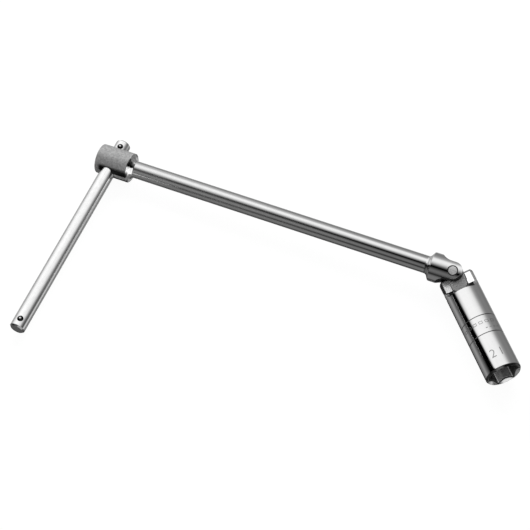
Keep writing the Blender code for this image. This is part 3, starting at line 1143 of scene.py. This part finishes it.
def make_socket():
    hex_length = hex_depth + overrun
    hex_middle = socket_mouth - hex_depth + hex_length / 2
    hexagon = slab("hexagon", hexagon_outline(), hex_length)
    hexagon = turned_mesh(hexagon, Matrix.Translation((hex_middle, 0, 0)) @ across_x)
    wide = socket_radius + overrun
    top = -socket_ear_reach - overrun
    slot_half = link_width / 2 + clearance
    slot = slot_mesh(top, socket_slot_floor, slot_half, wide)
    tools = [("DIFFERENCE", hexagon), ("DIFFERENCE", slot)]
    for turn_deg in (90, -90):
        flat = turned_mesh(slab("flat", flat_outline(), 2 * wide), rotation(turn_deg, "X"))
        tools.append(("DIFFERENCE", flat))
    tools.append(hole_tool(wide, along_y, socket_radius))
    mesh = carved(lathe("socket", finer(socket_profile())), tools)
    piece("socket_body", mesh, socket_frame, socket_chrome, "socket", "socket")


def make_plug_grip():
    start = socket_mouth - grip_from_mouth
    end = start - grip_length
    profile = [
        (start - grip_edge, grip_inner_radius),
        (start, grip_inner_radius + grip_edge),
        (start, grip_outer_radius),
        (end, grip_outer_radius),
        (end, grip_inner_radius + grip_edge),
        (end + grip_edge, grip_inner_radius),
        (start - grip_edge, grip_inner_radius),
    ]
    mesh = lathe("grip", finer(profile), small_facets)
    piece("grip_ring", mesh, socket_frame, rubber, "socket", "plug_grip")


def wrapped(name, mesh, along, middle_deg):
    """Lays a flat mark round the socket, its right side running against the turn about X."""
    shape = bmesh.new()
    shape.from_mesh(mesh)
    width = max(vertex.co.x for vertex in shape.verts)
    cuts = math.ceil(2 * width / mark_step)
    for n in range(cuts + 1):
        spot = Vector((2 * width * n / cuts - width, 0, 0))
        geometry = shape.verts[:] + shape.edges[:] + shape.faces[:]
        bmesh.ops.bisect_plane(shape, geom=geometry, plane_co=spot, plane_no=(1, 0, 0))
    for vertex in shape.verts:
        radius = socket_radius + (mark_proud if vertex.co.z > 0 else -mark_sunk)
        angle = math.radians(middle_deg) - vertex.co.x / socket_radius
        across, out = radius * math.cos(angle), radius * math.sin(angle)
        vertex.co = Vector((along - vertex.co.y, across, out))
    mark = mesh_from(name, shape)
    piece(name, mark, socket_frame, stamped, "socket")


def digit_mesh(text):
    """A figure about its own middle, as a thin plate."""
    curve = bpy.data.curves.new("figure", "FONT")
    curve.body = text
    curve.size = digit_height / digit_share_of_size
    curve.extrude = mark_sunk
    curve.offset = -digit_thinned
    curve.resolution_u = figure_steps
    figure = added("figure", curve)
    mesh = final_mesh(figure)
    bpy.data.objects.remove(figure, do_unlink=True)
    low = Vector([min(vertex.co[axis] for vertex in mesh.vertices) for axis in range(3)])
    high = Vector([max(vertex.co[axis] for vertex in mesh.vertices) for axis in range(3)])
    return turned_mesh(mesh, Matrix.Translation(-(low + high) / 2))


def box_mesh():
    """An empty box, drawn with a stroke."""
    shape = bmesh.new()
    loops = []
    for inset, z in ((0, -1), (0, 1), (box_stroke, 1), (box_stroke, -1)):
        x, y = box_width / 2 - inset, box_height / 2 - inset
        corners = ((-x, -y), (x, -y), (x, y), (-x, y))
        loops.append([shape.verts.new((a, b, z * mark_sunk)) for a, b in corners])
    for one, two in zip(loops, loops[1:] + loops[:1]):
        for n in range(4):
            after = (n + 1) % 4
            shape.faces.new((one[n], one[after], two[after], two[n]))
    return mesh_from("box", shape)


def dash_mesh():
    end_place = dash_width / 2 - dash_height / 2
    ends = arc((end_place, 0), dash_height / 2, -90, 90, rim_steps)
    ends += arc((-end_place, 0), dash_height / 2, 90, 270, rim_steps)
    return slab("dash", ends, 2 * mark_sunk)


def make_row(name, mark_mesh, along, first_deg, step_deg, count):
    for n in range(count):
        wrapped(f"{name}_{n}", mark_mesh(), along, first_deg - n * step_deg)


def make_marks():
    """The size, and rows of empty boxes and of dashes where a maker would stamp its words."""
    for n, (text, turn_deg) in enumerate(digit_turns):
        wrapped(f"size_mark_{n}", digit_mesh(text), digit_along, turn_deg)
    make_row("box", box_mesh, **box_row)
    make_row("dash", dash_mesh, **dash_row)


# Stage
def grey(level):
    return (level, level, level, 1)


def floor_material():
    """White paper for the camera, with the tool's shadow; plain grey for other rays."""
    material = bpy.data.materials.new("paper")
    nodes = empty_tree(material)
    paper = nodes.new("ShaderNodeBsdfDiffuse", Color=grey(paper_grey))
    glow = nodes.new("ShaderNodeEmission", Color=grey(1), Strength=paper_glow)
    white = nodes.new("ShaderNodeAddShader")
    nodes.put(white.inputs[0], paper.outputs[0])
    nodes.put(white.inputs[1], glow.outputs[0])
    table = nodes.new("ShaderNodeBsdfDiffuse", Color=grey(table_grey))
    seen = nodes.new("ShaderNodeLightPath").outputs["Is Camera Ray"]
    either = nodes.new("ShaderNodeMixShader")
    nodes.put(either.inputs[0], seen)
    nodes.put(either.inputs[1], table.outputs[0])
    nodes.put(either.inputs[2], white.outputs[0])
    output = nodes.new("ShaderNodeOutputMaterial")
    nodes.put(output.inputs["Surface"], either.outputs[0])
    return material


def make_floor():
    half = floor_half
    mesh = bpy.data.meshes.new("floor")
    corners = [(-half, -half, 0), (half, -half, 0), (half, half, 0), (-half, half, 0)]
    mesh.from_pydata(corners, [], [(0, 1, 2, 3)])
    mesh.materials.append(floor_material())
    floor = added("floor", mesh)
    floor.location.z = -floor_drop
    floor.visible_glossy = False


def studio_world():
    """A white surround for the camera, and a studio for the metal to show.

    It has a wide white light overhead, a grey wall behind that brightens at the left, a dark
    side where the camera stands that is a little lighter at its left, a white card at the front
    right, and a grey table that is lighter to both sides and darkest straight below."""
    world = bpy.data.worlds.new("studio")
    bpy.context.scene.world = world
    nodes = empty_tree(world)
    path = nodes.new("ShaderNodeLightPath").outputs
    ray = nodes.new("ShaderNodeTexCoord").outputs["Generated"]

    def toward(axis, start, full, low=0.0, high=1.0):
        """A value that goes from low to high as the ray turns toward an axis."""
        return nodes.spread(nodes.dot(ray, Vector(axis).normalized()), start, full, low, high)

    def total(first, *rest):
        for value in rest:
            first = nodes.math("ADD", first, value)
        return first

    overhead = (0.05, -0.33, 0.94)
    wall = toward(overhead, 0.02, 0.58, low=0.24, high=0.48)
    light = toward(overhead, 0.28, 0.68, high=0.6)
    left_wall = toward((-0.74, 0.55, 0.4), 0.68, 1.4, high=1.7)
    back = total(wall, light, left_wall)
    front = toward((-0.4, -0.81, 0.42), 0.84, 1.3, high=0.94)
    behind = (-0.36, 0.93, 0.1)
    wide_edge = toward(behind, -0.29, 0.47)
    narrow_edge = toward(behind, 0.145, 0.195)
    at_left = toward((1, 0, 0), -0.42, -0.68)
    upper = nodes.mix(nodes.mix(at_left, wide_edge, narrow_edge), front, back)
    table_level = 0.2
    table_left = toward((-0.47, 0.37, -0.8), 0.54, 0.9, high=0.34)
    right_side = toward((1.0, -0.07, -0.05), 0.65, 1.27, high=2.2)
    table_right = nodes.math("MINIMUM", right_side, table_right_limit)
    table_below = toward((-0.35, 0.08, -0.93), 0.69, 1.0, high=-0.37)
    lit_table = total(table_left, table_right, table_below, table_level)
    edge_shade = toward((-0.23, 0.33, -0.91), 0.93, 0.98, low=1.0, high=0.05)
    table = nodes.math("MULTIPLY", lit_table, edge_shade)
    above_table = toward((0, 0, 1), -0.39, 0.11)
    room = nodes.math("MINIMUM", nodes.mix(above_table, table, upper), room_limit)
    card_sides = (
        ((1, 0, 0), -0.05, 0.01),
        ((0, 1, 0), 0.16, 0.08),
        ((0.36, 0.59, 0.72), 0.49, 0.4),
        ((0, 0, 1), -0.5, -0.2),
    )
    card = 1.0
    for axis, start, full in card_sides:
        card = nodes.math("MULTIPLY", card, toward(axis, start, full))
    studio = total(nodes.math("MAXIMUM", room, 0.0), card)
    glossy = nodes.mix(path["Is Glossy Ray"], plain_light, studio)
    strength = nodes.mix(path["Is Camera Ray"], glossy, 1.0)
    background = nodes.new("ShaderNodeBackground", Color=grey(1), Strength=strength)
    output = nodes.new("ShaderNodeOutputWorld")
    nodes.put(output.inputs["Surface"], background.outputs[0])


def make_lamp():
    """One large soft lamp for the floor's shadow and the rubber."""
    lamp = bpy.data.lights.new("soft_lamp", "AREA")
    lamp.shape = "RECTANGLE"
    lamp.size = lamp_width
    lamp.size_y = lamp_height
    lamp.energy = lamp_watts
    item = added("soft_lamp", lamp)
    item.visible_glossy = False
    item.location = lamp_place
    item.rotation_euler = (-item.location).to_track_quat("-Z", "Y").to_euler()


def make_camera():
    """The photograph's viewpoint, given by where the shaft lies in the camera's own axes."""
    seen_along = Vector((0.919, -0.309, 0.246))
    seen_handle = Vector((0.392, 0.790, -0.472))
    seen_place = Vector((-0.12279, 0.08327, -1.21587))
    camera = bpy.data.cameras.new("camera")
    camera.sensor_width = sensor_width
    camera.lens = sensor_width * focal_pixels / photo_pixels
    camera.clip_start = nearest_seen
    camera.clip_end = farthest_seen
    item = added("camera", camera)
    item.matrix_world = shaft_frame @ basis(seen_place, seen_along, seen_handle).inverted()
    bpy.context.scene.camera = item


make_cross_head()
make_shaft()
make_weld("weld_head", head_neck + clearance / 2)
make_weld("weld_fork", pin_distance - fork_neck - clearance / 2)
make_handle()
make_balls()
make_fork()
make_link()
make_rivet("rivet_fork", "fork_rivet", collar_radius, fork_frame @ along_z, "shaft")
make_rivet("rivet_socket", "socket_rivet", socket_radius, socket_frame @ along_y, "socket")
make_socket()
make_marks()
make_plug_grip()
for spring in ("detent_spring_upper", "detent_spring_lower"):
    frame["nodes"][spring].material_slots[0].material = bare
make_floor()
studio_world()
make_lamp()
make_camera()
bpy.context.scene.view_settings.view_transform = "Standard"
